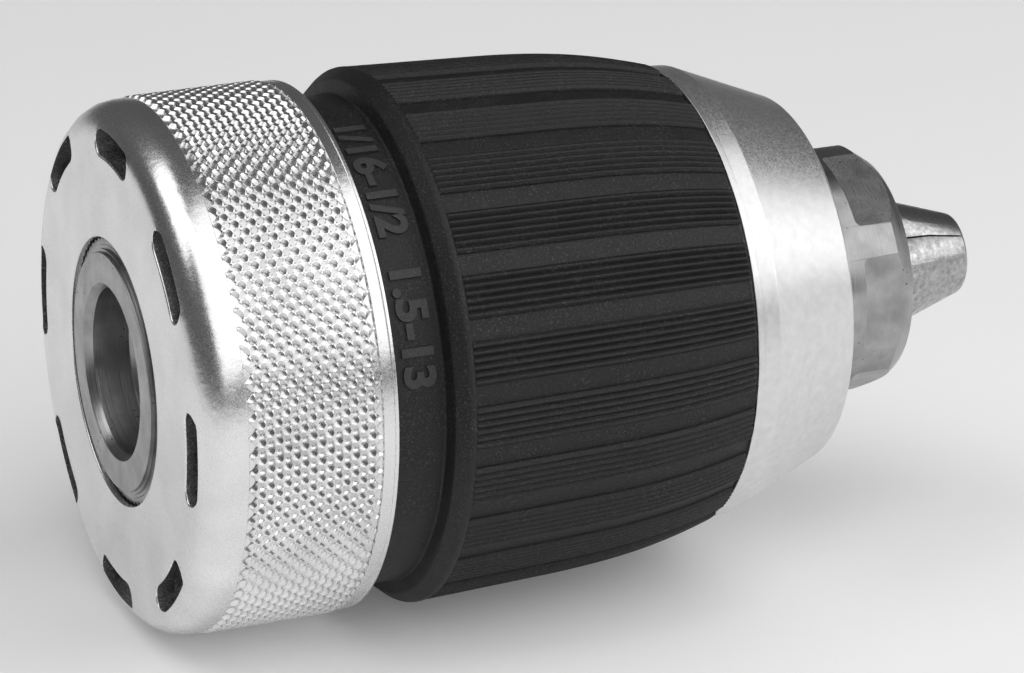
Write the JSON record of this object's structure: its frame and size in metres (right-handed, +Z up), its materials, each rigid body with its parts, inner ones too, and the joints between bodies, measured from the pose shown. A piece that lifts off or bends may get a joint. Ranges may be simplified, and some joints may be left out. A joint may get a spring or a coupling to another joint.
{
  "type": "keyless drill chuck",
  "caption": "Keyless drill chuck: knurled steel rear ring, ribbed black grip sleeve, satin steel cone, machined nose and closed jaws on a threaded spindle socket.",
  "frame": {"origin": "centre of the flat rear face that seats on the spindle shoulder", "axes": "+X along the chuck's axis from the spindle to the jaw tips, +Z up"},
  "size_m": [0.0764, 0.0448, 0.0448],
  "materials": {
    "machined_steel": "turned and milled, uncoated",
    "bright_plate": "pressed sheet, bright plated",
    "satin_steel": "satin plated",
    "black_plastic": "moulded, fine grain",
    "jaw_steel": "hardened and ground",
    "nut_steel": "machined, oiled",
    "hard_steel": "ground",
    "cage_steel": "pressed",
    "ball_steel": "polished"
  },
  "bodies": {
    "chuck_frame": {"chuck_body": "machined_steel", "rear_ring": "bright_plate", "rear_race": "hard_steel", "retaining_ring": "hard_steel"},
    "sleeve_unit": {"grip_sleeve": "black_plastic", "steel_sleeve": "satin_steel", "nut_half_a": "nut_steel", "nut_half_b": "nut_steel", "nut_band": "hard_steel", "front_race": "hard_steel"},
    "bearing_unit": {"ball_cage": "cage_steel", "ball_01": "ball_steel", "ball_02": "ball_steel", "ball_03": "ball_steel", "ball_04": "ball_steel", "ball_05": "ball_steel", "ball_06": "ball_steel", "ball_07": "ball_steel", "ball_08": "ball_steel", "ball_09": "ball_steel", "ball_10": "ball_steel", "ball_11": "ball_steel", "ball_12": "ball_steel"},
    "jaw_unit_1": {"jaw_1": "jaw_steel"},
    "jaw_unit_2": {"jaw_2": "jaw_steel"},
    "jaw_unit_3": {"jaw_3": "jaw_steel"}
  },
  "joints": [
    {"name": "sleeve_turn", "type": "hinge", "parent": "chuck_frame", "child": "sleeve_unit", "pos_m": [0.03, 0, 0], "axis": [1, 0, 0], "range_deg": [0, 5040]},
    {"name": "bearing_roll", "type": "hinge", "parent": "chuck_frame", "child": "bearing_unit", "pos_m": [0.0359, 0, 0], "axis": [1, 0, 0], "range_deg": [0, 2520]},
    {"name": "jaw_1_slide", "type": "slide", "parent": "chuck_frame", "child": "jaw_unit_1", "axis": [-0.9728, 0.0521, 0.2256], "range_m": [0, 0.0281]},
    {"name": "jaw_2_slide", "type": "slide", "parent": "chuck_frame", "child": "jaw_unit_2", "axis": [-0.9728, -0.2214, -0.0677], "range_m": [0, 0.0281]},
    {"name": "jaw_3_slide", "type": "slide", "parent": "chuck_frame", "child": "jaw_unit_3", "axis": [-0.9728, 0.1693, -0.1579], "range_m": [0, 0.0281]}
  ],
  "couplings": [
    {"joint": "bearing_roll", "follows": "sleeve_turn", "ratio": 0.5},
    {"joint": "jaw_1_slide", "follows": "sleeve_turn", "m_per_rad": 0.00031831},
    {"joint": "jaw_2_slide", "follows": "sleeve_turn", "m_per_rad": 0.00031831},
    {"joint": "jaw_3_slide", "follows": "sleeve_turn", "m_per_rad": 0.00031831}
  ]
}
